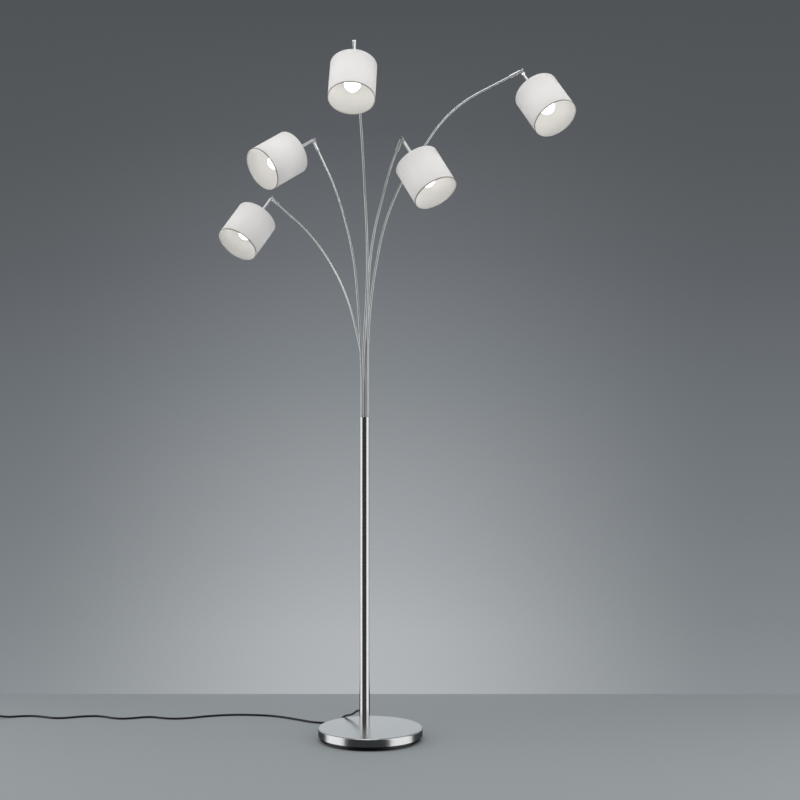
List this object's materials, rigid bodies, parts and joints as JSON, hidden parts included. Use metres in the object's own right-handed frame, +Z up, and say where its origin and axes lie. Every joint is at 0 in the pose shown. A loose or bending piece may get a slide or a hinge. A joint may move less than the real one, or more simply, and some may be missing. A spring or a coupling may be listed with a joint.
{
  "type": "tree floor lamp",
  "caption": "Floor lamp with a round weighted base, one straight pole and a spray of bent arms, each with a tilting drum shade.",
  "frame": {"origin": "on the floor, under the middle of the pole", "axes": "+Z up along the pole; +X to the right and +Y to the back as the lamp is seen from its front"},
  "size_m": [1.9428, 0.6261, 1.9722],
  "materials": {
    "felt": "black felt",
    "black_plastic": "matt black",
    "iron": "raw cast iron",
    "satin_nickel": "satin nickel plate on steel",
    "zinc": "zinc plated",
    "dark_steel": "nickel plated steel",
    "black_cord": "black PVC sheath, semi-matt",
    "pin_brass": "bright brass",
    "holder_plastic": "white plastic",
    "white_wire": "white painted wire",
    "shade_cloth": "off-white chintz on stiff backing",
    "lamp_glass": "opal glass"
  },
  "bodies": {
    "base": {"base_pad": "felt", "base_tray": "black_plastic", "base_weight": "iron", "base_cover": "satin_nickel", "pole": "satin_nickel", "pole_nut": "zinc", "arm_holder": "satin_nickel", "cord_grommet": "black_plastic", "cord_run": "black_cord", "switch_base": "black_plastic", "switch_cover": "black_plastic", "cord_coil": "black_cord", "plug_body": "black_cord", "plug_pins": "pin_brass"},
    "switch_pedal": {"switch_pedal": "black_plastic"},
    "arm_low_left": {"arm_low_left": "satin_nickel"},
    "knuckle_low_left": {"knuckle_low_left": "satin_nickel", "hinge_screw_low_left": "dark_steel"},
    "head_low_left": {"stem_low_left": "satin_nickel", "lampholder_low_left": "holder_plastic", "shade_ring_low_left": "holder_plastic", "shade_frame_low_left": "white_wire", "shade_low_left": "shade_cloth", "bulb_low_left": "lamp_glass"},
    "arm_upper_left": {"arm_upper_left": "satin_nickel"},
    "knuckle_upper_left": {"knuckle_upper_left": "satin_nickel", "hinge_screw_upper_left": "dark_steel"},
    "head_upper_left": {"stem_upper_left": "satin_nickel", "lampholder_upper_left": "holder_plastic", "shade_ring_upper_left": "holder_plastic", "shade_frame_upper_left": "white_wire", "shade_upper_left": "shade_cloth", "bulb_upper_left": "lamp_glass"},
    "arm_front": {"arm_front": "satin_nickel"},
    "knuckle_front": {"knuckle_front": "satin_nickel", "hinge_screw_front": "dark_steel"},
    "head_front": {"stem_front": "satin_nickel", "lampholder_front": "holder_plastic", "shade_ring_front": "holder_plastic", "shade_frame_front": "white_wire", "shade_front": "shade_cloth", "bulb_front": "lamp_glass"},
    "arm_mid_right": {"arm_mid_right": "satin_nickel"},
    "knuckle_mid_right": {"knuckle_mid_right": "satin_nickel", "hinge_screw_mid_right": "dark_steel"},
    "head_mid_right": {"stem_mid_right": "satin_nickel", "lampholder_mid_right": "holder_plastic", "shade_ring_mid_right": "holder_plastic", "shade_frame_mid_right": "white_wire", "shade_mid_right": "shade_cloth", "bulb_mid_right": "lamp_glass"},
    "arm_far_right": {"arm_far_right": "satin_nickel"},
    "knuckle_far_right": {"knuckle_far_right": "satin_nickel", "hinge_screw_far_right": "dark_steel"},
    "head_far_right": {"stem_far_right": "satin_nickel", "lampholder_far_right": "holder_plastic", "shade_ring_far_right": "holder_plastic", "shade_frame_far_right": "white_wire", "shade_far_right": "shade_cloth", "bulb_far_right": "lamp_glass"}
  },
  "joints": [
    {"name": "arm_swivel_low_left", "type": "hinge", "parent": "base", "child": "arm_low_left", "pos_m": [0, 0.0095, 0.895], "axis": [0, 0, 1], "range_deg": [-90, 15]},
    {"name": "knuckle_swivel_low_left", "type": "hinge", "parent": "arm_low_left", "child": "knuckle_low_left", "pos_m": [-0.28061, 0.30902, 1.57443], "axis": [-0.5796, 0.5992, 0.5522], "range_deg": [-150, 150]},
    {"name": "head_tilt_low_left", "type": "hinge", "parent": "knuckle_low_left", "child": "head_low_left", "pos_m": [-0.29857, 0.32483, 1.59276], "axis": [-0.2003, -0.7617, 0.6162], "range_deg": [-115, 19]},
    {"name": "arm_swivel_upper_left", "type": "hinge", "parent": "base", "child": "arm_upper_left", "pos_m": [-0.00903, 0.00294, 0.895], "axis": [0, 0, 1], "range_deg": [-25, 90]},
    {"name": "knuckle_swivel_upper_left", "type": "hinge", "parent": "arm_upper_left", "child": "knuckle_upper_left", "pos_m": [-0.14305, 0.10541, 1.70821], "axis": [-0.3984, 0.3198, 0.8597], "range_deg": [-150, 150]},
    {"name": "head_tilt_upper_left", "type": "hinge", "parent": "knuckle_upper_left", "child": "head_upper_left", "pos_m": [-0.15411, 0.11263, 1.7353], "axis": [0.3132, -0.8335, 0.4552], "range_deg": [-105, 26]},
    {"name": "arm_swivel_front", "type": "hinge", "parent": "base", "child": "arm_front", "pos_m": [-0.00558, -0.00769, 0.895], "axis": [0, 0, 1], "range_deg": [-90, 10]},
    {"name": "knuckle_swivel_front", "type": "hinge", "parent": "arm_front", "child": "knuckle_front", "pos_m": [-0.02366, -0.11817, 1.93713], "axis": [-0.0779, -0.261, 0.9622], "range_deg": [-150, 150]},
    {"name": "head_tilt_front", "type": "hinge", "parent": "knuckle_front", "child": "head_front", "pos_m": [-0.02318, -0.1264, 1.96612], "axis": [0.9892, -0.1408, 0.0419], "range_deg": [-130, 2]},
    {"name": "arm_swivel_mid_right", "type": "hinge", "parent": "base", "child": "arm_mid_right", "pos_m": [0.00558, -0.00769, 0.895], "axis": [0, 0, 1], "range_deg": [-45, 15]},
    {"name": "knuckle_swivel_mid_right", "type": "hinge", "parent": "arm_mid_right", "child": "knuckle_mid_right", "pos_m": [0.09592, -0.04178, 1.68261], "axis": [0.3695, -0.1739, 0.9128], "range_deg": [-80, 20]},
    {"name": "head_tilt_mid_right", "type": "hinge", "parent": "knuckle_mid_right", "child": "head_mid_right", "pos_m": [0.10864, -0.04468, 1.70978], "axis": [0.575, 0.8145, -0.0776], "range_deg": [-115, 15]},
    {"name": "arm_swivel_far_right", "type": "hinge", "parent": "base", "child": "arm_far_right", "pos_m": [0.00903, 0.00294, 0.895], "axis": [0, 0, 1], "range_deg": [-15, 90]},
    {"name": "knuckle_swivel_far_right", "type": "hinge", "parent": "arm_far_right", "child": "knuckle_far_right", "pos_m": [0.42426, -0.0153, 1.8965], "axis": [0.8912, -0.0568, 0.45], "range_deg": [-150, 150]},
    {"name": "head_tilt_far_right", "type": "hinge", "parent": "knuckle_far_right", "child": "head_far_right", "pos_m": [0.45179, -0.01456, 1.90875], "axis": [0.2763, 0.8548, -0.4393], "range_deg": [-85, 49]},
    {"name": "switch_pedal_press", "type": "slide", "parent": "base", "child": "switch_pedal", "axis": [0, 0, -1], "range_m": [0, 0.003], "stiffness_N_per_m": 900, "springref_m": -0.002}
  ]
}
